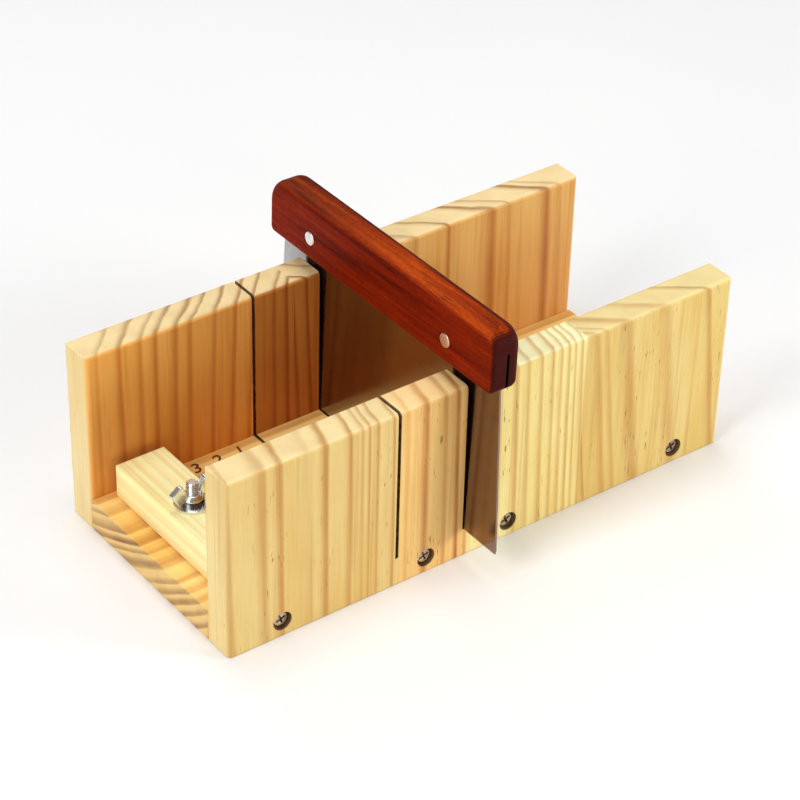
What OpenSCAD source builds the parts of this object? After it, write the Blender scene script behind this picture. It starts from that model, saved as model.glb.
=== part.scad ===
// Adjustable soap cutting box with a straight cutter.
// The origin is at the middle of the base board's underside. +X runs along the box from the
// stop block's end to the open end, +Y across it, and +Z up. All sizes are in millimetres.

/* [Box] */
// Length of the three boards along X
box_l = 240; // [220:5:400]
// Width over both side boards
box_w = 110; // [90:1:160]
// Height of the side boards
box_h = 80; // [60:1:120]
// Thickness of every board
board_t = 14; // [12:0.5:20]
// Rounding of the side boards' edges on their -Y faces
edge_r = 1.8; // [0.8:0.1:3]
// Rounding of the side boards' upright end edges on their -Y faces
end_r = 2.2; // [0.8:0.1:4]
// Rounding of the side boards' edges on their +Y faces
crisp_r = 0.8; // [0.4:0.1:2]
// Rounding of the base board's end edges
base_end_r = 0.8; // [0.4:0.1:2]

/* [Kerfs] */
// X of the narrow kerf, for a wavy or thin cutter
kerf_x = -43.6; // [-60:0.1:-38]
// Width of the narrow kerf
kerf_w = 1.4; // [1:0.1:3]
// X of the wide kerf, which holds the straight cutter
blade_kerf_x = -10.7; // [-30:0.1:60]
// Width of the wide kerf
blade_kerf_w = 3; // [2.8:0.1:6]
// Depth of both kerfs in the floor
floor_cut = 1; // [0.5:0.1:2]

/* [Stop block] */
// X of the clamp bolt, which is the middle of the stop block
stop_x = -99.4; // [-100:0.1:-70]
// Length of the stop block along X
stop_l = 22.5; // [18:0.5:28]
// Thickness of the stop block
stop_t = 15; // [10:1:20]
// Gap between the stop block and each side board
stop_gap = 3; // [0.5:0.1:4]
// Rounding of the stop block's edges
stop_r = 1.2; // [0.5:0.1:3]
// Travel of the stop block towards the near end of its slot
travel_back = 4; // [0:1:4]
// Travel of the stop block towards the narrow kerf
travel_fore = 38; // [10:1:38]

/* [Clamp] */
// Diameter of the clamp bolt
bolt_d = 5; // [4:0.5:6]
// Height of the bolt's end above the stop block
bolt_rise = 10.2; // [10:0.1:20]
// Width across the flats of the bolt's head
head_af = 8; // [7:0.5:10]
// Height of the bolt's head
head_h = 3.5; // [2.5:0.1:4]
// Outside diameter of the flat washer
washer_d = 15; // [10:0.5:20]
// Thickness of the flat washer
washer_t = 1.2; // [0.8:0.1:2]
// Outside diameter of the split lock washer
lock_d = 8.8; // [8:0.1:12]
// Thickness of the split lock washer
lock_t = 1.4; // [1:0.1:2]
// Height of the wing nut's hub
hub_h = 2.6; // [2.4:0.1:5]
// Reach of each wing from the nut's axis
wing_reach = 10.4; // [9.5:0.1:13]
// Height of the wings above the nut's base
wing_h = 8.1; // [7:0.1:12]
// Rounding of the wings' corners
wing_r = 1; // [0.6:0.1:1.4]
// Thickness of the wings
wing_t = 2.4; // [1.5:0.1:3]
// Angle that the wings stand at, turned from the X direction
wing_turn = 6; // [-90:1:90]

/* [Screws] */
// X of the screws that hold each side board to the base board
screw_x = [-95.9, -29.5, 10.5, 96];
// Diameter of the counterbore over each screw head
bore_d = 8.2; // [7:0.1:10]
// Depth of the counterbore
bore_depth = 4; // [2:0.5:6]
// Diameter of the screw heads
screw_head_d = 7.4; // [6:0.1:8]
// Height of the screw heads
screw_head_h = 2.4; // [2:0.1:3]
// Diameter of the screw shanks
screw_d = 3.8; // [3:0.1:4.5]
// Length of the screws under the head
screw_l = 32; // [25:1:40]

/* [Cutter] */
// Thickness of the blade
blade_t = 0.8; // [0.6:0.1:1.2]
// Length of the blade's top edge, inside the handle
blade_top_l = 136.4; // [120:0.1:150]
// Length of the blade's cutting edge
blade_edge_l = 145.8; // [130:0.1:170]
// Height of the bevel along the cutting edge
bevel_h = 1.6; // [0.5:0.1:3]
// Lean of the resting cutter, towards +X at its top
lean = 1.1; // [0:0.1:1.2]
// Y of the middle of the handle
cutter_y = -2.8; // [-5:0.1:5]
// Shift of the blade along the handle
blade_shift = 1.1; // [-2:0.1:3]
// Shift of the saw cut from the middle of the handle's thickness
slit_shift = 0.5; // [-2:0.1:2]
// Length of the handle
handle_l = 142.4; // [120:0.1:160]
// Height of the handle
handle_h = 25.3; // [22:0.1:30]
// Thickness of the handle
handle_t = 13.9; // [12:0.1:20]
// Height of the handle's underside above the cutting edge
handle_z = 74.4; // [70:0.1:110]
// Depth of the saw cut that holds the blade
slit_depth = 16; // [12:0.1:18]
// Rounding around the handle's -X face
handle_near_r = 2; // [0.8:0.1:3]
// Rounding of the handle's top edge on its -X face
handle_ridge_r = 3.6; // [1:0.1:5]
// Rounding around the handle's +X face
handle_far_r = 4.2; // [1:0.1:5]
// Rounding of the handle's -Y and +Y top corners, seen along X
handle_top_r = [8, 9.5];
// Rounding of the handle's bottom corners, seen along X
handle_low_r = 3; // [1:0.1:8]
// Diameter of the handle's rivets
rivet_d = 6.5; // [4:0.1:8]
// Distance of the rivets from the middle of the handle
rivet_y = [44, -42.8];
// Height of the rivets above the handle's underside
rivet_z = 9.4; // [6:0.1:12]

/* [Hidden] */
$fn = 64;
// Play between a moving piece and the piece that it rests on
play = 0.05;
// Length added to a cutting tool so that it passes its face
over = 1;
// Thickness of the thin slices that a rounded block is stretched over
sliver = 0.01;
inside_w = box_w - 2 * board_t;
floor_z = board_t;
cut_z = floor_z - floor_cut;
side_y = (box_w - board_t) / 2;
// Groove for the bolt's head, open to the base board's underside
groove_w = head_af + 0.3;
groove_z = 5;
slot_w = bolt_d + 0.6;
slot_from = stop_x - travel_back - slot_w / 2;
slot_to = stop_x + travel_fore + slot_w / 2;
groove_more = 5;
// Levels of the clamp's stack above the floor
stop_z = floor_z + play;
stop_top = stop_z + stop_t;
lock_z = stop_top + washer_t;
nut_z = lock_z + lock_t;
bolt_top = stop_top + bolt_rise;
screw_z = board_t / 2;
screw_seat = box_w / 2 - bore_depth;
// The cutter stands with its cutting edge in the wide kerf's left lower corner
edge_x = blade_kerf_x - blade_kerf_w / 2 + 0.45;
edge_z = cut_z + play;
blade_h = handle_z + slit_depth - 0.2;
screws = len(screw_x);

// Rectangle around the origin with a radius for each corner: near left, near right, far right, far left
module rounded(size, r) {
    x = size[0] / 2;
    y = size[1] / 2;
    polygon([
        [-x, r[0] - y], [r[0] - x, -y], [x - r[1], -y], [x, r[1] - y],
        [x, y - r[2]], [x - r[2], y], [r[3] - x, y], [-x, y - r[3]]
    ]);
    translate([r[0] - x, r[0] - y]) circle(r[0]);
    translate([x - r[1], r[1] - y]) circle(r[1]);
    translate([x - r[2], y - r[2]]) circle(r[2]);
    translate([r[3] - x, y - r[3]]) circle(r[3]);
}

// Block that stands on z = 0, with its corners rounded in plan, in front view and in end view
module rounded_block(size, plan_r, front_r, end_r) {
    intersection() {
        linear_extrude(size[2]) rounded([size[0], size[1]], plan_r);
        translate([0, size[1] / 2, size[2] / 2]) rotate([90, 0, 0])
            linear_extrude(size[1]) rounded([size[0], size[2]], front_r);
        translate([-size[0] / 2, 0, size[2] / 2]) rotate([90, 0, 90])
            linear_extrude(size[0]) rounded([size[1], size[2]], end_r);
    }
}

// How far a face lies inside the block, at the depth x below a round edge of radius r
function inset(r, x) = x < r ? r - sqrt(r * r - (r - x) * (r - x)) : 0;

// Block that stands on z = 0, round along the edges of its -X face (left_r, but ridge_r on top) and
// of its +X face (right_r), with the radii of its corners in end view
module soft_block(size, left_r, ridge_r, right_r, corners) {
    steps = 8;
    hull() for (side = [[-1, left_r, ridge_r], [1, right_r, right_r]], i = [0 : steps]) {
        depth = side[2] * (1 - sin(90 * i / steps));
        around = inset(side[1], depth);
        above = inset(side[2], depth);
        translate([side[0] * (size[0] / 2 - depth) - sliver / 2, 0, (size[2] + around - above) / 2])
            rotate([90, 0, 90]) linear_extrude(sliver)
            rounded([size[1] - 2 * around, size[2] - around - above],
                [for (r = corners) max(r - around, sliver)], $fn = 48);
    }
}

// Places its children across the box at each kerf: the saw's path through the boards
module kerf_cuts() {
    translate([kerf_x - kerf_w / 2, -box_w, cut_z]) cube([kerf_w, 2 * box_w, box_h]);
    translate([blade_kerf_x - blade_kerf_w / 2, -box_w, cut_z]) cube([blade_kerf_w, 2 * box_w, box_h]);
}

// Turns its children, which point along -Z from the origin, into the screws' direction on one side
module at_screw(i, side) {
    translate([screw_x[i], side * screw_seat, screw_z]) rotate([side * -90, 0, 0]) children();
}

// Holes for the screws of one side: counterbore and shank
module screw_holes(side) {
    for (i = [0 : screws - 1]) at_screw(i, side) {
        cylinder(h = bore_depth + over, d = bore_d);
        translate([0, 0, -screw_l]) cylinder(h = screw_l + over, d = screw_d);
    }
}

module base_board() {
    color("burlywood") difference() {
        rounded_block([box_l, inside_w, board_t], [0.4, 0.4, 0.4, 0.4],
            [base_end_r, base_end_r, base_end_r, base_end_r], [0.4, 0.4, 0.4, 0.4]);
        kerf_cuts();
        screw_holes(-1);
        screw_holes(1);
        translate([slot_from - groove_more, -groove_w / 2, -over])
            cube([slot_to - slot_from + 2 * groove_more, groove_w, groove_z + over]);
        translate([slot_from, -slot_w / 2, 0]) cube([slot_to - slot_from, slot_w, board_t + over]);
    }
}

module side_board(side) {
    color("wheat") difference() {
        translate([0, side * side_y, 0])
            rounded_block([box_l, board_t, box_h], [end_r, end_r, crisp_r, crisp_r],
                [crisp_r, crisp_r, crisp_r, crisp_r], [crisp_r, crisp_r, crisp_r, edge_r]);
        kerf_cuts();
        screw_holes(side);
    }
}

// Round-headed wood screw with a crossed recess, its head standing up from the origin
module screw() {
    crown = 0.9;
    recess_l = 4.4;
    recess_w = 0.9;
    tip_l = 6;
    color("dimgray") difference() {
        rotate_extrude() polygon([
            [0, -screw_l], [0.3, -screw_l], [screw_d / 2, tip_l - screw_l], [screw_d / 2, 0],
            [screw_head_d / 2, 0], [screw_head_d / 2, screw_head_h - crown],
            [screw_head_d / 2 - crown, screw_head_h], [0, screw_head_h]
        ]);
        for (turn = [0, 90]) rotate(turn + 20)
            translate([-recess_l / 2, -recess_w / 2, screw_head_h - 1.4])
                cube([recess_l, recess_w, 1.4 + over]);
    }
}

module stop_block() {
    r = stop_r;
    color("navajowhite") difference() {
        translate([stop_x, 0, stop_z])
            rounded_block([stop_l, inside_w - 2 * stop_gap, stop_t], [r, r, r, r], [r, r, r, r], [r, r, r, r]);
        translate([stop_x, 0, stop_z - over]) cylinder(h = stop_t + 2 * over, d = bolt_d + 0.4);
    }
}

// Hexagon-headed bolt: its head slides in the groove under the base board
module clamp_bolt() {
    head_top = groove_z - play;
    chamfer = 0.5;
    color("silver") translate([stop_x, 0, 0]) {
        translate([0, 0, head_top - head_h]) cylinder(h = head_h, d = head_af / cos(30), $fn = 6);
        translate([0, 0, head_top]) rotate_extrude() polygon([
            [0, -over], [bolt_d / 2, -over], [bolt_d / 2, bolt_top - head_top - chamfer],
            [bolt_d / 2 - chamfer, bolt_top - head_top], [0, bolt_top - head_top]
        ]);
    }
}

module flat_washer() {
    color("silver") translate([stop_x, 0, stop_top]) difference() {
        cylinder(h = washer_t, d = washer_d);
        translate([0, 0, -over]) cylinder(h = washer_t + 2 * over, d = bolt_d + 0.3);
    }
}

// Spring washer with a slanting cut through one side
module lock_washer() {
    cut_w = 0.8;
    color("gainsboro") translate([stop_x, 0, lock_z]) difference() {
        cylinder(h = lock_t, d = lock_d);
        translate([0, 0, -over]) cylinder(h = lock_t + 2 * over, d = bolt_d + 0.2);
        rotate(-60) translate([0, -cut_w / 2, lock_t / 2]) rotate([30, 0, 0])
            translate([0, 0, -2 * lock_t]) cube([lock_d, cut_w, 4 * lock_t]);
    }
}

// The unit vector that points left of the way from p to q
function left(p, q) = [p[1] - q[1], q[0] - p[0]] / norm(q - p);

// One wing of the nut in the XZ plane: a web that slants outwards from the hub, with two round corners
module wing() {
    foot = [wing_reach - 3.1, 0.2];
    tip = [wing_reach - wing_r, wing_h - wing_r - 2];
    top = [wing_reach - 4.4, wing_h - wing_r];
    root = [2.6, hub_h - 0.4];
    rotate([90, 0, 0]) translate([0, 0, -wing_t / 2]) linear_extrude(wing_t) union() {
        polygon([
            [0, foot[1]], foot, tip - wing_r * left(foot, tip), tip - wing_r * left(tip, top),
            top - wing_r * left(tip, top), top - wing_r * left(top, root), root, [0, root[1]]
        ]);
        translate(tip) circle(wing_r);
        translate(top) circle(wing_r);
    }
}

module wing_nut() {
    base_r = 4.3;
    top_r = 3.5;
    chamfer = 0.4;
    color("silver") translate([stop_x, 0, nut_z]) difference() {
        union() {
            rotate_extrude() polygon([
                [0, 0], [base_r - chamfer, 0], [base_r, chamfer], [top_r, hub_h - chamfer],
                [top_r - chamfer, hub_h], [0, hub_h]
            ]);
            for (turn = [0, 180]) rotate(turn + wing_turn) wing();
        }
        translate([0, 0, -over]) cylinder(h = hub_h + 2 * over, d = bolt_d + 2 * play);
    }
}

// Places its children in the leaning cutter's frame: x through the blade, y along it, z up from its edge
module in_cutter() {
    translate([edge_x, cutter_y, edge_z]) rotate([0, lean, 0]) children();
}

// Holes or bodies of the two rivets, the given length either side of the handle's middle
module rivet_rods(length, which = [0, 1]) {
    for (i = which) translate([blade_t / 2 - slit_shift - length / 2, rivet_y[i], handle_z + rivet_z])
        rotate([0, 90, 0]) cylinder(h = length, d = rivet_d);
}

module cutter_blade() {
    color("lightsteelblue") in_cutter() difference() {
        intersection() {
            translate([0, handle_l, 0]) rotate([90, 0, 0]) linear_extrude(2 * handle_l) polygon([
                [0, 0], [0.3, 0], [blade_t, bevel_h], [blade_t, blade_h], [0, blade_h]
            ]);
            translate([-over, blade_shift, 0]) rotate([90, 0, 90]) linear_extrude(blade_t + 2 * over) polygon([
                [-blade_edge_l / 2, 0], [blade_edge_l / 2, 0], [blade_top_l / 2, blade_h], [-blade_top_l / 2, blade_h]
            ]);
        }
        rivet_rods(2 * handle_t);
    }
}

module cutter_handle() {
    color("saddlebrown") in_cutter() difference() {
        translate([blade_t / 2 - slit_shift, 0, handle_z])
            soft_block([handle_t, handle_l, handle_h], handle_near_r, handle_ridge_r, handle_far_r,
                [handle_low_r, handle_low_r, handle_top_r[1], handle_top_r[0]]);
        translate([0, -handle_l, handle_z - over]) cube([blade_t, 2 * handle_l, slit_depth + over]);
        rivet_rods(2 * handle_t);
    }
}

module rivet(i) {
    color("lightgray") in_cutter() rivet_rods(handle_t + 0.3, [i]);
}

base_board();
side_board(-1);  // near_side_board
side_board(1);  // far_side_board
for (i = [0 : screws - 1]) {
    at_screw(i, -1) screw();
    at_screw(i, 1) screw();
}
stop_block();
clamp_bolt();
flat_washer();
lock_washer();
wing_nut();
cutter_blade();
cutter_handle();
rivet(1);  // near_rivet
rivet(0);  // far_rivet
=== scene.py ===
"""Looks for the soap cutting box: woods, metals, burnt ruler figures, thread, camera and light."""
import math
import bmesh
import bpy
from mathutils import Matrix, Vector


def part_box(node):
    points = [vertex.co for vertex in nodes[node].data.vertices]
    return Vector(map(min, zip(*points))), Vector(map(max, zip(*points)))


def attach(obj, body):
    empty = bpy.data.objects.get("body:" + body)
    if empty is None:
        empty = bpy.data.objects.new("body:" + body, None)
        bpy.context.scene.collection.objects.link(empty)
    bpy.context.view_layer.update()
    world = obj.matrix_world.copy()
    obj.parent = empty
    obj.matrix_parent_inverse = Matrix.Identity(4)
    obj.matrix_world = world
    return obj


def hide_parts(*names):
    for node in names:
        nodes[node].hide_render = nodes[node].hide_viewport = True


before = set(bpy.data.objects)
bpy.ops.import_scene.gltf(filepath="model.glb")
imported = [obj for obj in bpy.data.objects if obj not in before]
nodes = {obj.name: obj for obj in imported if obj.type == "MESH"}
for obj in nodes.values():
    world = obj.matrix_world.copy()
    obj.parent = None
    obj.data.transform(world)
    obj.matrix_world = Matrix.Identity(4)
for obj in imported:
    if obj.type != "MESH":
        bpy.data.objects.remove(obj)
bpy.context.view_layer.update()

MM = 0.001


# ---------------------------------------------------------------- shader building

class Shader:
    """A material's node tree. Each call adds nodes and gives back an output socket."""

    def __init__(self, name):
        self.material = bpy.data.materials.new(name)
        self.material.use_nodes = True
        self.tree = self.material.node_tree
        self.tree.nodes.clear()
        self.bsdf = self.add("ShaderNodeBsdfPrincipled")
        output = self.add("ShaderNodeOutputMaterial")
        self.tree.links.new(self.bsdf.outputs[0], output.inputs["Surface"])
        coordinates = self.add("ShaderNodeTexCoord")
        self.mm = self.vector("SCALE", coordinates.outputs["Object"], scale=1 / MM)
        self.normal = coordinates.outputs["Normal"]

    def add(self, kind, **settings):
        node = self.tree.nodes.new(kind)
        for key, value in settings.items():
            setattr(node, key, value)
        return node

    def put(self, socket, value):
        if isinstance(value, bpy.types.NodeSocket):
            self.tree.links.new(value, socket)
        elif isinstance(value, (tuple, list)) and len(value) == 3 and socket.type == "RGBA":
            socket.default_value = (*value, 1)
        else:
            socket.default_value = value

    def set(self, **values):
        for key, value in values.items():
            self.put(self.bsdf.inputs[key.replace("_", " ")], value)

    def math(self, operation, *values):
        node = self.add("ShaderNodeMath", operation=operation)
        for socket, value in zip(node.inputs, values):
            self.put(socket, value)
        return node.outputs[0]

    def vector(self, operation, *values, scale=None):
        node = self.add("ShaderNodeVectorMath", operation=operation)
        for socket, value in zip(node.inputs, values):
            self.put(socket, value)
        if scale is not None:
            self.put(node.inputs["Scale"], scale)
        return node.outputs["Value" if operation == "LENGTH" else "Vector"]

    def split(self, vector):
        node = self.add("ShaderNodeSeparateXYZ")
        self.put(node.inputs[0], vector)
        return node.outputs

    def join(self, x, y, z):
        node = self.add("ShaderNodeCombineXYZ")
        for socket, value in zip(node.inputs, (x, y, z)):
            self.put(socket, value)
        return node.outputs[0]

    def mix(self, factor, a, b):
        node = self.add("ShaderNodeMix", data_type="RGBA")
        for socket, value in zip((node.inputs[0], node.inputs[6], node.inputs[7]), (factor, a, b)):
            self.put(socket, value)
        return node.outputs[2]

    def ramp(self, factor, stops):
        """A colour ramp, or a ramp of grey where the stops hold plain numbers."""
        node = self.add("ShaderNodeValToRGB")
        elements = node.color_ramp.elements
        while len(elements) < len(stops):
            elements.new(0.5)
        for element, (position, value) in zip(elements, stops):
            element.position = position
            element.color = (*value, 1) if isinstance(value, tuple) else (value, value, value, 1)
        self.put(node.inputs[0], factor)
        return node.outputs[0]

    def range(self, value, low, high, to_low=0.0, to_high=1.0):
        """value from low..high to to_low..to_high, smoothly and held at both ends."""
        node = self.add("ShaderNodeMapRange", interpolation_type="SMOOTHSTEP")
        for socket, number in zip(node.inputs, (value, low, high, to_low, to_high)):
            self.put(socket, number)
        return node.outputs[0]

    def noise(self, vector, scale, detail=2.0, roughness=0.5):
        node = self.add("ShaderNodeTexNoise")
        for key, value in (("Vector", vector), ("Scale", scale), ("Detail", detail),
                           ("Roughness", roughness)):
            self.put(node.inputs[key], value)
        return node.outputs["Fac"]

    def between(self, value, low, high):
        """1 where value lies between low and high, and 0 elsewhere."""
        above = self.math("GREATER_THAN", value, low)
        return self.math("MULTIPLY", above, self.math("LESS_THAN", value, high))

    def bump(self, height, distance, strength):
        node = self.add("ShaderNodeBump")
        for key, value in (("Strength", strength), ("Distance", distance), ("Height", height)):
            self.put(node.inputs[key], value)
        return node.outputs[0]

    def on(self, *names):
        """Gives this material to CAD nodes."""
        for name in names:
            mesh = nodes[name].data
            mesh.materials.clear()
            mesh.materials.append(self.material)


# ---------------------------------------------------------------- wood

# Colours of pine: between the growth lines, in them, and the same where the grain is cut across
PALE = (0.86, 0.66, 0.30)
STRAW = (0.80, 0.55, 0.20)
LATE = (0.56, 0.25, 0.05)
RED_LATE = (0.40, 0.13, 0.035)
PALE_END = (0.90, 0.72, 0.40)
LATE_END = (0.52, 0.24, 0.05)
PITCH = (0.38, 0.17, 0.05)
# Painted shade inside the kerfs: near black
KERF_SHADE = (0.075, 0.014, 0.005)
# Painted shade on the walls of the counterbores: dark brown
BORE_SHADE = (0.10, 0.035, 0.012)
UNTINTED = (1.0, 1.0, 1.0)

# Places in millimetres: kerfs as (x, width), their foot, and the walls of the screws' counterbores
KERFS = [(-43.6, 1.4), (-10.7, 3.0)]
KERF_FOOT = 13.0
BORE_DEPTHS = (50.9, 54.75)
BORE_HEIGHTS = (1.5, 12.4)
BORE_REACH = 118.0
HAIR = 0.03

EVERYWHERE = -999  # where the first strip across a board starts
LINE_MARK = 0.7  # how far across a growth line its position lies, close to its darkest part


def grain_space(sh, order, offset):
    """Across, depth and along-the-grain sockets in millimetres, and the same stretched for fibres."""
    axes = sh.split(sh.vector("ADD", sh.mm, offset))
    across, depth, along = (axes["XYZ".index(letter)] for letter in order)

    def stretched(share):
        return sh.join(across, depth, sh.math("MULTIPLY", along, share))
    return across, depth, along, stretched


def late_wood(sh, t):
    """One growth line, for t from 0 to 1 across it: a slow rise, then a quick fall."""
    return sh.ramp(t, [(0.0, 0.0), (0.3, 0.2), (0.52, 0.7), (0.68, 1.0), (0.8, 0.8), (0.97, 0.0)])


def growth_lines(sh, s, lines):
    """Strength and redness at the ring coordinate s of lines: (position, width, strength, redness)."""
    density, red = 0.0, 0.0
    for position, width, strength, redness in lines:
        profile = late_wood(sh, sh.math("MULTIPLY_ADD", s, 1 / width, LINE_MARK - position / width))
        density = sh.math("MAXIMUM", sh.math("MULTIPLY", profile, strength), density)
        if redness:
            red = sh.math("MAXIMUM", sh.math("MULTIPLY", profile, redness), red)
    return density, red


def growth_rings(sh, s, spacing, strength):
    """Strength at the ring coordinate s of rings that lie unevenly, about spacing apart."""
    uneven = sh.noise(sh.join(s, 0.0, 0.0), 0.09, 1.0)
    turns = sh.math("MULTIPLY_ADD", uneven, 2.2, sh.math("DIVIDE", s, spacing))
    which = sh.add("ShaderNodeTexWhiteNoise", noise_dimensions="1D")
    sh.put(which.inputs["W"], sh.math("FLOOR", turns))
    profile = sh.ramp(sh.math("FRACT", turns), [(0.0, 0.0), (0.28, 0.14), (0.55, 0.75), (0.78, 1.0),
                                                (0.92, 0.75), (1.0, 0.0)])
    each = sh.math("MULTIPLY_ADD", which.outputs["Value"], 0.5 * strength, 0.5 * strength)
    return sh.math("MULTIPLY", profile, each)


def slanting(sh, across, below, along, shift, strips):
    """Ring coordinate of glued strips: (start, tilt with depth, lean with height) from left to right."""
    _, tilt, lean = strips[0]
    for (start, next_tilt, next_lean), (_, last_tilt, last_lean) in zip(strips[1:], strips):
        past = sh.math("GREATER_THAN", across, start)
        tilt = sh.math("MULTIPLY_ADD", past, next_tilt - last_tilt, tilt)
        lean = sh.math("MULTIPLY_ADD", past, next_lean - last_lean, lean)
    s = sh.math("MULTIPLY_ADD", below, tilt, sh.math("ADD", across, shift))
    return sh.math("MULTIPLY_ADD", sh.math("SUBTRACT", along, 40.0), lean, s)


def tone_strips(sh, across, tones, soft=0.8):
    """Colour that changes across the board: (start, colour) from left to right."""
    colour = tones[0][1]
    for start, tone in tones[1:]:
        colour = sh.mix(sh.range(across, start - soft, start + soft), colour, tone)
    return colour


def facing(sh, axis):
    """How far the surface faces along an axis, from -1 to 1."""
    return sh.split(sh.normal)["XYZ".index(axis)]


def with_flecks(sh, colour, stretched, end, strength):
    """Short dark resin flecks along the grain, in places, on the long faces only."""
    speck = sh.noise(stretched(0.14), 1.1, 1.0)
    place = sh.range(sh.noise(stretched(0.1), 0.075, 1.0), 0.40, 0.58)
    mark = sh.math("MULTIPLY", sh.range(speck, 0.69, 0.74, 0.0, strength), place)
    mark = sh.math("MULTIPLY", mark, sh.math("SUBTRACT", 1.0, end))
    return sh.mix(mark, colour, PITCH)


def with_kerfs(sh, colour):
    """Painted shade in the kerfs: their walls and feet darkened nearly to black, unevenly and a little less
    near the top.
    """
    x, _, z = sh.split(sh.mm)
    dark = 0.0
    for at, width in KERFS:
        inside = sh.math("ABSOLUTE", sh.math("SUBTRACT", x, at))
        dark = sh.math("MAXIMUM", sh.math("LESS_THAN", inside, width / 2 + HAIR), dark)
    dark = sh.math("MULTIPLY", dark, sh.math("GREATER_THAN", z, KERF_FOOT - HAIR))
    # uneven strength of the painted shade, weaker near the top of the kerfs
    kerf_shade = sh.range(sh.noise(sh.mm, 0.5, 3.0), 0.3, 0.75, 0.97, 0.8)
    kerf_shade = sh.math("MULTIPLY", kerf_shade, sh.range(z, 72.0, 79.0, 1.0, 0.85))
    return sh.mix(sh.math("MULTIPLY", dark, kerf_shade), colour, KERF_SHADE)


def with_bores(sh, colour):
    """Painted shade on the walls of the counterbores that the screws sit in: they are darkened to dark
    brown.
    """
    x, y, z = sh.split(sh.mm)
    hole = sh.between(sh.math("ABSOLUTE", y), *BORE_DEPTHS)
    hole = sh.math("MULTIPLY", hole, sh.between(z, *BORE_HEIGHTS))
    hole = sh.math("MULTIPLY", hole, sh.math("LESS_THAN", sh.math("ABSOLUTE", x), BORE_REACH))
    # painted shade: the counterbore walls mixed most of the way to dark brown
    return sh.mix(sh.math("MULTIPLY", hole, 0.85), colour, BORE_SHADE)


def pine(name, order, lines=(), strips=(), rings=None, face=0.0, warp=1.0, offset=(0, 0, 0),
         tones=((EVERYWHERE, UNTINTED),), light=PALE, base=STRAW, late=LATE, end_light=PALE_END,
         end_late=LATE_END, flecks=0.0, kerfs=True, bores=False, faces=()):
    """Bare sanded pine. order names the axes across, into and along the grain. It has either lines and
    strips, or rings as (centre, spacing, strength). tones tint it across the board. faces paint light and
    shade by the way it faces, as (axis, where the tint begins, where it is full, tones, painted shade
    towards the floor)."""
    sh = Shader(name)
    across, depth, along, stretched = grain_space(sh, order, offset)
    slow = sh.noise(stretched(0.16), 0.018, 1.0)
    wobble = sh.noise(stretched(0.07), 0.11, 2.0)
    shift = sh.math("MULTIPLY_ADD", sh.math("SUBTRACT", slow, 0.5), 9.0 * warp,
                    sh.math("MULTIPLY", sh.math("SUBTRACT", wobble, 0.5), 2.2 * warp))
    if rings:
        centre, spacing, strength = rings
        flat = sh.join(sh.math("SUBTRACT", across, centre[0]), sh.math("SUBTRACT", depth, centre[1]), 0.0)
        s = sh.math("ADD", sh.vector("LENGTH", flat), shift)
        density, red = growth_rings(sh, s, spacing, strength), 0.0
    else:
        below = sh.math("SUBTRACT", depth, face)
        density, red = growth_lines(sh, slanting(sh, across, below, along, shift, strips), lines)
    wear = sh.range(sh.noise(stretched(0.35), 0.06, 2.0), 0.25, 0.62, 0.7, 1.0)
    density = sh.math("MULTIPLY", density, wear)

    end = sh.range(sh.math("ABSOLUTE", facing(sh, order[2])), 0.45, 0.9)
    blotch = sh.range(sh.noise(stretched(0.22), 0.045, 3.0, 0.6), 0.3, 0.7)
    fibre = sh.noise(stretched(0.025), 1.7, 4.0, 0.65)
    fine = sh.noise(stretched(0.06), 4.2, 2.0, 0.6)
    faint = sh.noise(stretched(0.02), 0.30, 3.0, 0.7)
    grit = sh.noise(sh.mm, 2.2, 3.0, 0.7)

    side_colour = sh.mix(blotch, light, base)
    side_colour = sh.mix(sh.range(faint, 0.48, 0.75, 0.0, 0.45), side_colour, late)
    side_colour = sh.mix(density, side_colour, sh.mix(red, late, RED_LATE) if lines else late)
    end_base = sh.mix(sh.range(sh.noise(sh.mm, 0.09, 3.0), 0.35, 0.7, 0.0, 0.13), end_light, end_late)
    end_colour = sh.mix(density, end_base, end_late)
    colour = sh.mix(end, side_colour, end_colour)
    streak = sh.math("ADD", sh.math("SUBTRACT", fibre, 0.5),
                     sh.math("MULTIPLY", sh.math("SUBTRACT", fine, 0.5), 0.5))
    streak = sh.mix(end, streak, sh.math("SUBTRACT", grit, 0.5))
    colour = sh.vector("SCALE", colour, scale=sh.math("MULTIPLY_ADD", streak, 0.26, 1.0))
    colour = sh.vector("MULTIPLY", colour, tone_strips(sh, across, tones))
    z = sh.split(sh.mm)[2]
    # painted light and shade by the way the surface faces, with painted shade towards the floor
    for axis, low, high, tint, foot in faces:
        tinted = sh.vector("MULTIPLY", colour, tone_strips(sh, across, tint))
        tinted = sh.mix(sh.range(z, 75.0, 18.0), tinted, sh.vector("MULTIPLY", tinted, foot))
        colour = sh.mix(sh.range(facing(sh, axis), low, high), colour, tinted)
    if flecks:
        colour = with_flecks(sh, colour, stretched, end, flecks)
    # painted shade in the kerfs
    if kerfs:
        colour = with_kerfs(sh, colour)
    # painted shade in the counterbores
    if bores:
        colour = with_bores(sh, colour)

    height = sh.math("MULTIPLY_ADD", density, 0.12, sh.math("ADD", fibre, sh.math("MULTIPLY", fine, 0.5)))
    rough = sh.range(sh.math("MULTIPLY_ADD", density, -0.25, fibre), 0.2, 0.8, 0.50, 0.70)
    sh.set(Base_Color=colour, Roughness=rough, Specular_IOR_Level=0.22,
           Normal=sh.bump(height, 0.00007, 0.6))
    return sh


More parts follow.
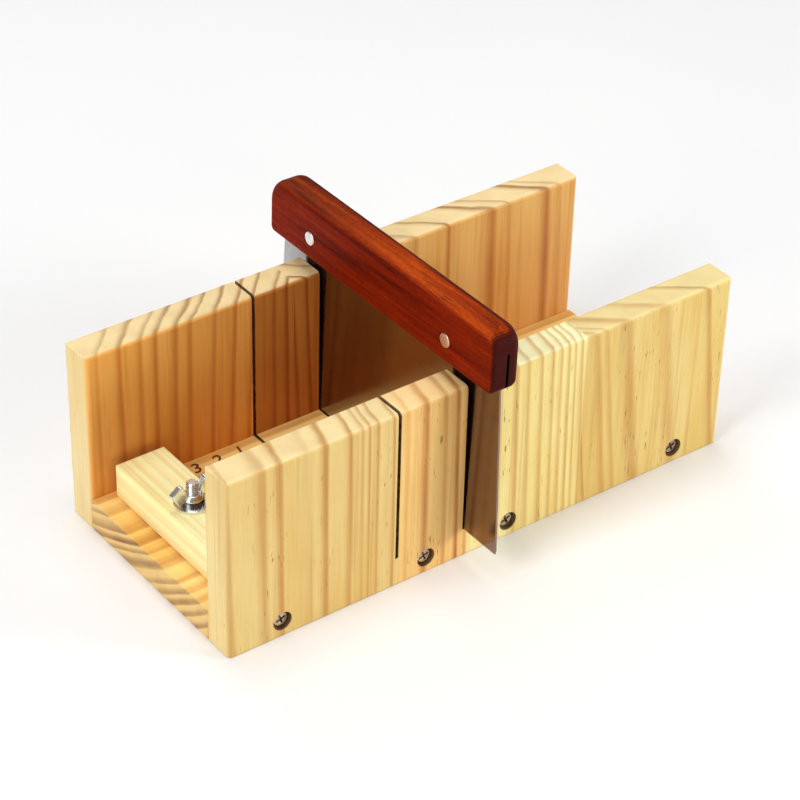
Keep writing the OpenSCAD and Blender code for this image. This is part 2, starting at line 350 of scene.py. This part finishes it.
# Growth lines across the side boards' faces: (position in millimetres, width, strength, redness)
NEAR_LINES = [
    (-118.5, 5.0, 0.45, 0), (-104.0, 9.0, 0.5, 0), (-96.5, 5.5, 0.85, 0), (-86.0, 7.0, 0.22, 0),
    (-77.5, 6.0, 0.85, 0.1), (-66.2, 4.6, 0.8, 0.15), (-60.8, 3.2, 0.5, 0), (-57.6, 2.8, 0.65, 0.1),
    (-53.6, 3.4, 0.65, 0.1), (-46.0, 3.2, 0.65, 0.3), (-39.6, 4.5, 0.35, 0.2), (-30.8, 6.0, 0.85, 0.65),
    (-22.6, 5.0, 0.65, 0.5), (-17.0, 5.0, 1.0, 0.95), (-12.8, 3.6, 0.65, 0.3), (5.5, 3.4, 0.4, 0),
    (12.8, 5.0, 0.8, 0.1), (18.6, 4.0, 0.65, 0), (24.9, 4.2, 0.8, 0.1), (30.4, 3.8, 0.8, 0.05),
    (34.3, 3.0, 0.65, 0.05), (37.8, 3.0, 0.8, 0.1), (40.6, 2.6, 0.7, 0.1), (44.3, 3.0, 0.7, 0),
    (55.0, 7.5, 0.55, 0.1), (60.5, 5.0, 0.45, 0.1), (71.5, 13.0, 0.65, 0.15), (91.0, 12.0, 0.48, 0.05),
    (112.0, 6.0, 0.7, 0.3),
]
FAR_LINES = [
    (-114.5, 5.0, 0.5, 0.1), (-103.6, 6.0, 0.8, 0.3), (-94.2, 5.0, 0.6, 0.15), (-87.4, 5.5, 0.8, 0.3),
    (-78.4, 5.5, 0.8, 0.35), (-72.2, 4.4, 0.8, 0.35), (-62.4, 5.0, 0.8, 0.35), (-52.6, 4.6, 0.8, 0.35),
    (-44.4, 3.6, 0.8, 0.3), (-33.6, 4.2, 0.7, 0.2), (-27.4, 4.2, 1.0, 0.1), (-22.6, 3.6, 0.9, 0.1),
    (-16.2, 4.2, 1.0, 0.3), (-2.0, 6.0, 0.6, 0.2), (9.0, 7.0, 0.6, 0.2), (24.0, 8.0, 0.65, 0.2),
    (38.5, 7.0, 0.5, 0.2), (54.6, 5.4, 0.9, 0.4), (75.4, 8.5, 0.9, 0.4), (83.4, 5.0, 0.5, 0.2),
    (103.6, 9.0, 0.9, 0.5), (110.5, 5.0, 0.45, 0.2),
]


def tinted_face(axis, side, tones, foot=UNTINTED):
    """A tint of painted light and shade for the faces that look to one side along an axis, with foot as the
    painted shade towards the floor.
    """
    return axis, side * 0.4, side * 0.9, tones, foot


def tinted_ends(tint):
    """Painted light: a paler tint on both end faces of a side board."""
    return [tinted_face("X", side, [(EVERYWHERE, tint)]) for side in (-1, 1)]


near_tones = [(EVERYWHERE, (0.87, 0.85, 0.74)), (-42.5, (1.03, 0.90, 0.72)), (-9.5, (1.03, 1.19, 1.17)),
              (45.5, (0.87, 0.87, 0.70))]
# Painted shade: the near board's inner face darker and more orange
near_inside_shade = tinted_face("Y", 1, [(EVERYWHERE, (0.95, 0.72, 0.46))])
# Painted light: the near board's top paler
near_top_light = tinted_face("Z", 1, [(EVERYWHERE, (1.1, 1.12, 1.18))])
# Painted shade on the far board's inner face: darker and more orange, darkest between the kerfs where the
# blade and handle shade it, and darker towards the floor
far_inside_shade = tinted_face("Y", -1, [(EVERYWHERE, (1.16, 0.80, 0.43)), (-43.6, (0.74, 0.39, 0.16)),
                                   (-10.7, (0.91, 0.72, 0.49))], foot=(0.88, 0.74, 0.66))

pine("Pine_near_board", "XYZ", NEAR_LINES, [(EVERYWHERE, -0.22, 0.015), (45.5, 1.35, 0.11)], face=-55,
     tones=near_tones, faces=[near_inside_shade, near_top_light] + tinted_ends((1.17, 1.26, 1.5)),
     flecks=0.85, bores=True).on("near_side_board")
pine("Pine_far_board", "XYZ", FAR_LINES, [(EVERYWHERE, -0.95, -0.01), (-24.5, 1.25, 0.02)], face=41,
     offset=(0, 0, 31), warp=1.35, end_light=(0.90, 0.70, 0.36), end_late=(0.34, 0.13, 0.02),
     faces=[far_inside_shade] + tinted_ends((1.02, 1.06, 1.18)), flecks=0.25, bores=True).on("far_side_board")
pine("Pine_base_board", "YZX", rings=((103.0, 190.0), 4.7, 1.0), warp=0.35, base=(0.96, 0.58, 0.155),
     light=(1.0, 0.73, 0.27), late=(0.60, 0.25, 0.045), end_light=(0.88, 0.60, 0.23),
     end_late=(0.24, 0.09, 0.022)).on("base_board")
pine("Pine_stop_block", "XZY", rings=((-40.0, 60.0), 3.4, 0.62), warp=0.5, light=(1.0, 0.97, 0.56),
     base=(1.0, 0.93, 0.46), late=(0.86, 0.56, 0.14), end_light=(0.90, 0.74, 0.40),
     end_late=(0.62, 0.40, 0.16), offset=(0, 40, 0), kerfs=False).on("stop_block")


SLIT_SLOPE = math.tan(math.radians(1.1))
SLIT_TOP = 103.5
# Painted shade in the slit
SLIT_SHADE = (0.006, 0.002, 0.002)


def with_slit(sh, colour, nx):
    """Painted shade of the saw slit that holds the blade: near black in the handle's ends and on the slit's
    walls inside.
    """
    low, high = (Vector(corner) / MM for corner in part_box("cutter_blade"))
    middle = (low + high) / 2
    x, _, z = sh.split(sh.mm)
    blade_x = sh.math("MULTIPLY_ADD", z, SLIT_SLOPE, middle.x - SLIT_SLOPE * middle.z)
    away = sh.math("ABSOLUTE", sh.math("SUBTRACT", x, blade_x))
    slit = sh.math("MULTIPLY", sh.range(away, 0.85, 0.6), sh.range(z, SLIT_TOP + 0.3, SLIT_TOP - 0.3))
    sideways = sh.range(sh.math("ABSOLUTE", nx), 0.8, 0.9)
    inner = sh.math("MULTIPLY", sh.math("LESS_THAN", away, 2.0), sideways)
    return sh.mix(sh.math("MAXIMUM", slit, inner), colour, SLIT_SHADE)


def rosewood():
    """Oiled red rosewood with its grain along Y: dark streaks, open pores and a fine cross figure."""
    sh = Shader("Rosewood")
    across, depth, along, stretched = grain_space(sh, "XZY", (0, 0, 0))
    bend = sh.noise(stretched(0.12), 0.045, 2.0)
    drift = sh.join(sh.math("MULTIPLY", bend, 9.0), sh.math("MULTIPLY", bend, -6.0), 0.0)
    moved = sh.vector("ADD", stretched(0.05), drift)
    bands = sh.noise(moved, 0.24, 4.0, 0.6)
    streaks = sh.noise(moved, 0.75, 3.0, 0.6)
    figure = sh.noise(sh.join(across, depth, sh.math("MULTIPLY", along, 0.8)), 0.9, 4.0, 0.75)
    pores = sh.noise(stretched(0.07), 3.4, 2.0, 0.6)
    nx, ny, nz = sh.split(sh.normal)
    top = sh.range(nz, 0.30, 0.80)
    end = sh.range(sh.math("ABSOLUTE", ny), 0.35, 0.75)
    side = sh.ramp(bands, [(0.30, (0.080, 0.004, 0.001)), (0.44, (0.165, 0.009, 0.001)),
                           (0.58, (0.225, 0.014, 0.001)), (0.72, (0.34, 0.032, 0.002))])
    upper = sh.ramp(bands, [(0.33, (0.09, 0.009, 0.003)), (0.42, (0.24, 0.024, 0.003)),
                            (0.56, (0.38, 0.043, 0.003)), (0.72, (0.52, 0.075, 0.005))])
    far_part = sh.range(along, -20.0, 60.0, 0.0, 0.45)
    upper = sh.mix(far_part, upper, (0.10, 0.020, 0.008))
    colour = sh.mix(top, side, upper)
    colour = sh.mix(sh.range(streaks, 0.56, 0.70, 0.0, 0.55), colour, (0.045, 0.005, 0.002))
    # dark streaks on the top, growing towards its +X shoulder
    shoulder = sh.math("MULTIPLY", top, sh.range(nx, -0.15, 0.35))
    shoulder_streaks = sh.math("MULTIPLY", shoulder, sh.range(sh.noise(moved, 0.9, 2.0), 0.42, 0.58, 0.1, 0.75))
    colour = sh.mix(shoulder_streaks, colour, (0.06, 0.008, 0.004))
    ripple_at = sh.join(sh.math("MULTIPLY", across, 0.2), sh.math("MULTIPLY", depth, 0.2), along)
    ripple = sh.range(sh.noise(ripple_at, 1.1, 1.0), 0.35, 0.65, 0.74, 1.14)
    patch = sh.range(sh.noise(stretched(0.5), 0.05, 1.0), 0.4, 0.6)
    ripple = sh.math("MULTIPLY_ADD", sh.math("SUBTRACT", ripple, 1.0), sh.math("MULTIPLY", patch, top), 1.0)
    shade = sh.math("MULTIPLY", ripple, sh.range(figure, 0.25, 0.75, 0.80, 1.20))
    colour = sh.vector("SCALE", colour, scale=shade)
    hole = sh.range(pores, 0.60, 0.70, 0.0, 0.4)
    colour = sh.mix(hole, colour, (0.05, 0.008, 0.003))
    end_colour = sh.mix(sh.range(pores, 0.35, 0.7), (0.062, 0.006, 0.003), (0.025, 0.003, 0.002))
    colour = sh.mix(end, colour, end_colour)
    # painted shade in the slit
    colour = with_slit(sh, colour, nx)
    # Painted shade: a dark rim where the top rounds over towards +X
    shaded_rim = sh.math("MULTIPLY", sh.range(nx, 0.03, 0.30), sh.range(nz, 0.15, 0.4))
    colour = sh.mix(sh.math("MULTIPLY", shaded_rim, 0.75), colour, (0.05, 0.005, 0.003))
    height = sh.math("MULTIPLY_ADD", hole, -1.0, sh.math("MULTIPLY", bands, 0.6))
    sh.set(Base_Color=colour, Roughness=sh.range(pores, 0.3, 0.75, 0.42, 0.58), Specular_IOR_Level=0.035,
           Normal=sh.bump(height, 0.00006, 0.7))
    return sh


rosewood().on("cutter_handle")


def burnt():
    """Unevenly charred wood of the ruler's figures."""
    sh = Shader("Burnt_figures")
    char = sh.range(sh.noise(sh.mm, 1.4, 3.0, 0.6), 0.3, 0.7)
    sh.set(Base_Color=sh.mix(char, (0.09, 0.020, 0.006), (0.25, 0.07, 0.018)), Roughness=0.85,
           Specular_IOR_Level=0.1, Normal=sh.bump(char, 0.00004, 0.6))
    return sh.material


# ---------------------------------------------------------------- metals

def metal(name, colour, dull, rough, grain, stretch=(1, 1, 1), tarnish=0.35, depth=0.00002, bare_steel=None):
    """Metal with a fine brushed or cast surface, uneven brightness and slight tarnish. With bare_steel, the
    piece has painted reflection of the wood: darker brown at its near end, and the bare_steel colour at its
    far end."""
    sh = Shader(name)
    if bare_steel:
        y = sh.split(sh.mm)[1]
        # painted reflection of the wood: darker and browner at the near end
        reflected_wood = sh.mix(sh.range(y, -60.0, -40.0), tuple(0.9 * c for c in dull), colour)
        colour = sh.mix(sh.range(y, 52.0, 66.0), reflected_wood, bare_steel)
    lines = sh.noise(sh.vector("MULTIPLY", sh.mm, stretch), grain, 3.0, 0.65)
    cloud = sh.noise(sh.mm, 0.16, 3.0, 0.6)
    stain = sh.range(cloud, 0.42, 0.72, 0.0, tarnish)
    shine = sh.mix(sh.range(lines, 0.3, 0.7), sh.vector("SCALE", colour, scale=0.9), colour)
    roughness = sh.math("MULTIPLY_ADD", lines, 0.12, sh.math("MULTIPLY_ADD", stain, 0.22, rough))
    sh.set(Base_Color=sh.mix(stain, shine, dull), Metallic=1.0, Roughness=roughness,
           Normal=sh.bump(lines, depth, 0.5))
    return sh


# The blade's brown colours are painted reflection of the wood around it, darkest and most orange at its near
# end; its far end has the grey of bare steel.
metal("Blade_steel", (0.36, 0.31, 0.29), (0.33, 0.235, 0.20), 0.11, 2.6, (1, 0.03, 1), tarnish=0.3,
      depth=0.000006, bare_steel=(0.52, 0.52, 0.53)).on("cutter_blade")
zinc = metal("Zinc_plate", (0.88, 0.92, 0.92), (0.60, 0.62, 0.60), 0.17, 1.8, tarnish=0.4, depth=0.00003)
zinc.on("flat_washer")
# Painted shade: the lock washer is coloured near black to stand for the shade in the gaps between the nut
# and the washers
metal("Spring_steel_painted_shade", (0.16, 0.15, 0.14), (0.30, 0.28, 0.25), 0.2, 1.8, tarnish=0.5,
      depth=0.00003).on("lock_washer")
metal("Screw_steel", (0.66, 0.54, 0.42), (0.20, 0.13, 0.09), 0.28, 2.4, tarnish=0.9,
      depth=0.00005).on(*[name for name in nodes if "_screw_" in name])
aluminium = metal("Rivet_aluminium", (0.95, 0.93, 0.92), (0.70, 0.62, 0.56), 0.26, 3.0, tarnish=0.4)
oiled = metal("Rivet_aluminium_oiled", (0.78, 0.54, 0.40), (0.55, 0.34, 0.22), 0.3, 3.0, tarnish=0.6)


# ---------------------------------------------------------------- pieces

def piece_from(name, mesh, material, body, replaced=None):
    """A visible piece that rides on a body, in place of the CAD node replaced if one is named."""
    mesh.materials.clear()
    mesh.materials.append(material)
    piece = bpy.data.objects.new(name, mesh)
    bpy.context.scene.collection.objects.link(piece)
    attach(piece, body)
    if replaced:
        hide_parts(replaced)


def mesh_from(name, vertices, faces):
    """A smooth mesh."""
    mesh = bpy.data.meshes.new(name)
    mesh.from_pydata([tuple(v) for v in vertices], [], faces)
    mesh.polygons.foreach_set("use_smooth", [True] * len(mesh.polygons))
    mesh.update()
    return mesh


def evaluated_mesh(holder, name):
    """The mesh of an object with its modifiers or text applied. The object is then removed."""
    bpy.context.scene.collection.objects.link(holder)
    bpy.context.view_layer.update()
    mesh = bpy.data.meshes.new_from_object(holder.evaluated_get(bpy.context.evaluated_depsgraph_get()))
    mesh.name = name
    bpy.data.objects.remove(holder)
    return mesh


def lathe(rows, around):
    """Vertices and faces of a closed skin about Z, from rows of (height, radius at each of the steps)."""
    vertices, faces = [], []
    for height, radii in rows:
        for i, radius in enumerate(radii):
            turn = 2 * math.pi * i / around
            vertices.append((radius * math.cos(turn), radius * math.sin(turn), height))
    for row in range(len(rows) - 1):
        for i in range(around):
            a, b = row * around + i, row * around + (i + 1) % around
            faces.append((a, b, b + around, a + around))
    faces.append(tuple(reversed(range(around))))
    last = (len(rows) - 1) * around
    faces.append(tuple(range(last, last + around)))
    return vertices, faces


def threaded_bolt():
    """The M5 bolt with its hexagon head in the groove and a rolled thread on its shank, as one skin."""
    around = 48
    rows_per_turn = 10
    pitch = 0.8 * MM
    thread_depth = 0.42 * MM
    shank = 2.5 * MM
    chamfer = 0.6 * MM
    head_h = 3.5 * MM
    bevel = 0.35 * MM
    low, high = (Vector(corner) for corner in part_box("clamp_bolt"))
    middle = (low + high) / 2
    flats = (high.y - low.y) / 2
    head_top = low.z + head_h
    sixth = math.pi / 3
    hexagon = [flats / math.cos(2 * math.pi * i / around % sixth - sixth / 2) for i in range(around)]

    def hexagon_row(height, smaller):
        return height, [radius - smaller for radius in hexagon]

    def thread_row(height):
        limit = shank - max(0.0, chamfer - (high.z - height))
        groove = [max(0.0, 1 - abs((height / pitch - i / around) % 1 - 0.5) / 0.42) for i in range(around)]
        return height, [min(shank - thread_depth * min(1.0, 1.15 * deep), limit) for deep in groove]

    steps = int((high.z - head_top) / pitch * rows_per_turn)
    rows = [hexagon_row(low.z, bevel), hexagon_row(low.z + bevel, 0.0), hexagon_row(head_top - bevel, 0.0),
            hexagon_row(head_top, bevel)]
    rows += [thread_row(head_top + (high.z - head_top) * step / steps) for step in range(steps + 1)]
    vertices, faces = lathe(rows, around)
    mesh = mesh_from("Clamp_bolt_threaded", [(x + middle.x, y + middle.y, z) for x, y, z in vertices], faces)
    head_vertices = around * 5
    mesh.polygons.foreach_set("use_smooth", [len(face.vertices) == 4 and min(face.vertices) >= head_vertices
                                             for face in mesh.polygons])
    piece_from("Clamp_bolt_threaded", mesh, zinc.material, "stop", "clamp_bolt")


def cast_wing_nut():
    """The wing nut with the soft edges of a casting, smoothed from the CAD nut's own shape."""
    source = bpy.data.objects.new("Wing_nut_source", nodes["wing_nut"].data.copy())
    remesh = source.modifiers.new("Remesh", "REMESH")
    remesh.mode = "VOXEL"
    remesh.voxel_size = 0.18 * MM
    relax = source.modifiers.new("Relax", "SMOOTH")
    relax.factor = 0.5
    relax.iterations = 7
    mesh = evaluated_mesh(source, "Wing_nut_cast")
    mesh.polygons.foreach_set("use_smooth", [True] * len(mesh.polygons))
    piece_from("Wing_nut_cast", mesh, zinc.material, "nut", "wing_nut")


# The outline of a rivet's end: (share of its radius, millimetres below its top)
RIVET_DOME = [(1.0, 0.45), (0.96, 0.2), (0.86, 0.09), (0.68, 0.04), (0.45, 0.015), (0.2, 0.003), (0.02, 0.0)]


def domed_rivet(node, name, material):
    """A set rivet: low domes at both ends, a little smaller than its hole so a dark ring shows."""
    around = 48
    radius = 3.0 * MM
    low, high = (Vector(corner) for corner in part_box(node))
    middle = (low + high) / 2

    def centre(side):
        end = [v.co for v in nodes[node].data.vertices if (v.co.x - middle.x) * side > 0]
        return sum(end, Vector()) / len(end)

    along = centre(1) - centre(-1)
    half = along.length / 2
    ends = [(half - drop * MM, share * radius) for share, drop in RIVET_DOME]
    profile = [(-height, r) for height, r in reversed(ends)] + ends
    points, faces = lathe([(height, [r] * around) for height, r in profile], around)
    turn = along.normalized().to_track_quat("Z", "Y")
    mesh = mesh_from(name, [middle + turn @ Vector(point) for point in points], faces)
    piece_from(name, mesh, material, "cutter", node)


# Where the ruler's figures stand along the floor, in millimetres
FIGURES = ((1, -55.0), (2, -65.4), (3, -75.6), (4, -85.9), (5, -96.2))


def ruler_figure(figure, x, material):
    """One burnt figure of the centimetre ruler, a hair above the floor, read from the near side."""
    tall = 6.1 * MM
    top_y = 38.6 * MM
    capital_share = 0.72
    floor_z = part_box("base_board")[1][2]
    text = bpy.data.curves.new("Ruler_text", "FONT")
    text.body = str(figure)
    text.size = tall / capital_share
    text.shear = 0.18
    text.extrude = 0.015 * MM
    text.offset = 0.13 * MM
    text.align_x = "CENTER"
    mesh = evaluated_mesh(bpy.data.objects.new("Ruler_text", text), f"Ruler_figure_{figure}")
    edit = bmesh.new()
    edit.from_mesh(mesh)
    bmesh.ops.remove_doubles(edit, verts=edit.verts, dist=0.002 * MM)
    edit.to_mesh(mesh)
    edit.free()
    mesh.transform(Matrix.Translation((x * MM, top_y - tall, floor_z + HAIR * MM)))
    piece_from(f"Ruler_figure_{figure}", mesh, material, "box")


threaded_bolt()
cast_wing_nut()
domed_rivet("near_rivet", "Near_rivet_domed", oiled.material)
domed_rivet("far_rivet", "Far_rivet_domed", aluminium.material)
charred = burnt()
for figure, x in FIGURES:
    ruler_figure(figure, x, charred)


# ---------------------------------------------------------------- floor, light and camera

FLOOR_REACH = 8.0
LIGHTS_AIM = Vector((0, 0, 0.03))


def paper():
    """Plain pale paper, very slightly uneven in tone."""
    sh = Shader("Studio_paper")
    tone = sh.range(sh.noise(sh.mm, 0.004, 2.0), 0.3, 0.7, 0.0, 1.0)
    sh.set(Base_Color=sh.mix(tone, (0.90, 0.90, 0.905), (0.915, 0.912, 0.912)), Roughness=0.85,
           Specular_IOR_Level=0.2)
    return sh.material


corners = [(x * FLOOR_REACH, y * FLOOR_REACH, 0) for x, y in ((-1, -1), (1, -1), (1, 1), (-1, 1))]
floor_mesh = mesh_from("Studio_floor", corners, [(0, 1, 2, 3)])
floor_mesh.materials.append(paper())
floor = bpy.data.objects.new("Studio_floor", floor_mesh)
bpy.context.scene.collection.objects.link(floor)

world = bpy.data.worlds.new("Studio")
bpy.context.scene.world = world
world.use_nodes = True
background = world.node_tree.nodes["Background"]
background.inputs["Color"].default_value = (1, 1, 1, 1)
background.inputs["Strength"].default_value = 0.21


def soft_light(name, place, size, power):
    """A square area light at place that points at the box."""
    light = bpy.data.lights.new(name, "AREA")
    light.size = size
    light.energy = power
    lamp = bpy.data.objects.new(name, light)
    lamp.location = place
    lamp.rotation_euler = (LIGHTS_AIM - lamp.location).to_track_quat("-Z", "Y").to_euler()
    bpy.context.scene.collection.objects.link(lamp)


soft_light("Top", (0.0, 0.1, 1.8), 0.9, 12.6)
soft_light("Back", (0.2, 1.3, 1.3), 0.9, 5.6)
soft_light("Left_high", (-1.3, -0.2, 1.2), 0.7, 12.0)
soft_light("Left_low", (-1.7, -0.35, 0.45), 0.7, 5.0)
soft_light("Front", (0.1, -1.8, 0.45), 0.7, 4.2)
soft_light("Right", (1.3, -1.2, 0.5), 0.7, 19.0)

camera = bpy.data.cameras.new("Camera")
camera.sensor_width = 36
camera.lens = 121.574
eye = bpy.data.objects.new("Camera", camera)
bpy.context.scene.collection.objects.link(eye)
right = Vector((0.80352183, -0.59487081, 0.02194053))
up = Vector((0.32614926, 0.47078091, 0.81975118))
back = Vector((-0.49797523, -0.65153208, 0.57229941))
turn = Matrix((right, up, back)).transposed().to_4x4()
eye.matrix_world = Matrix.Translation((-0.532849, -0.694508, 0.648117)) @ turn
bpy.context.scene.camera = eye
bpy.context.scene.view_settings.view_transform = "Standard"
